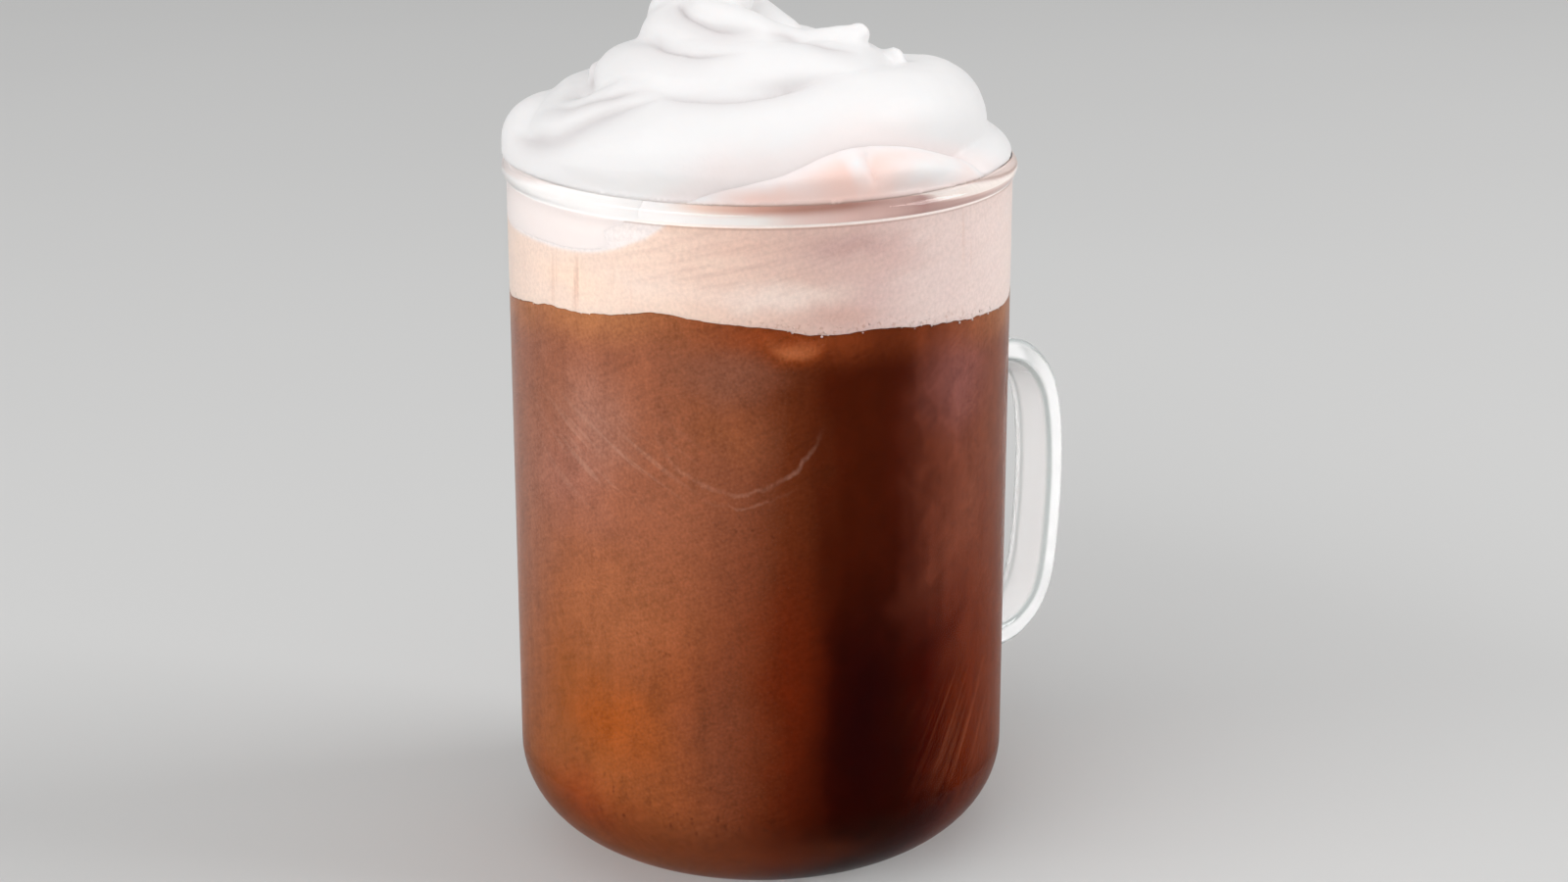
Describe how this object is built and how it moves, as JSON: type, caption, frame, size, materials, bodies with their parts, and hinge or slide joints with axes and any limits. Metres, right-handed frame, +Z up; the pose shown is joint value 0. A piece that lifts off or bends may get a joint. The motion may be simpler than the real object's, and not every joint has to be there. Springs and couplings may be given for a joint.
{
  "type": "caffe mocha",
  "caption": "Caffe mocha in a straight clear glass mug with a strap handle, with a layer of milk foam and a heap of swirled whipped cream above the rim.",
  "frame": {"origin": "centre of the mug's flat base, on the mug's axis", "axes": "+Z up along the mug's axis, +X from the axis towards the handle, +Y completes a right-handed frame"},
  "size_m": [0.1158, 0.0848, 0.1497],
  "materials": {
    "clear_glass": "clear polished glass",
    "mocha_drink": "opaque milky coffee and chocolate behind glass",
    "milk_foam": "fine milk foam tinted by the drink",
    "whipped_cream": "soft white whipped cream"
  },
  "bodies": {
    "root": {"glass_mug": "clear_glass", "mocha": "mocha_drink", "milk_foam": "milk_foam", "whipped_cream": "whipped_cream"}
  },
  "joints": []
}
